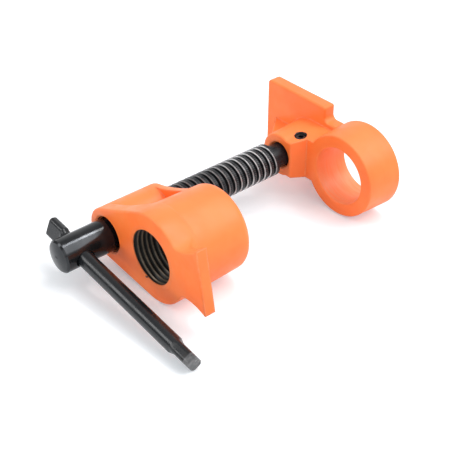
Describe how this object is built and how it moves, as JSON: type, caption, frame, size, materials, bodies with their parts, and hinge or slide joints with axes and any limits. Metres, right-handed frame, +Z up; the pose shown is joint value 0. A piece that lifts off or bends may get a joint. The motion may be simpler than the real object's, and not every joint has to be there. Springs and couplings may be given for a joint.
{
  "type": "woodworking clamp",
  "caption": "Pipe clamp head fixture: a threaded head casting, a lead screw with a sliding T-bar handle, and a swivelling jaw that slides on the pipe.",
  "frame": {"origin": "centre of the pipe bore on the front face of the head casting", "axes": "+X along the pipe from the head towards the jaw, +Z up as the clamp lies on a table, +Y from the pipe towards the screw"},
  "size_m": [0.1188, 0.0852, 0.0368],
  "materials": {
    "orange_enamel": "satin orange enamel over cast iron",
    "black_steel": "glossy black oxide",
    "bright_steel": "polished"
  },
  "bodies": {
    "head": {"head_casting": "orange_enamel"},
    "thrust": {"thrust_ball": "bright_steel"},
    "screw": {"lead_screw": "black_steel"},
    "handle": {"handle_bar": "black_steel"},
    "jaw": {"jaw_casting": "orange_enamel", "retaining_screw": "black_steel"}
  },
  "joints": [
    {"name": "jaw_feed", "type": "slide", "parent": "head", "child": "thrust", "axis": [1, 0, 0], "range_m": [-0.052, 0]},
    {"name": "screw_turn", "type": "hinge", "parent": "thrust", "child": "screw", "pos_m": [0, 0.02465, -0.00417], "axis": [1, 0, 0], "range_deg": [-6640, 0]},
    {"name": "bar_slide", "type": "slide", "parent": "screw", "child": "handle", "axis": [0, 0.9907, 0.1357], "range_m": [0, 0.0455]},
    {"name": "jaw_swivel", "type": "hinge", "parent": "thrust", "child": "jaw", "pos_m": [0.0912, 0.02465, -0.00417], "axis": [1, 0, 0], "continuous": true}
  ],
  "couplings": [
    {"joint": "screw_turn", "follows": "jaw_feed", "rad_per_m": 2228.1}
  ]
}
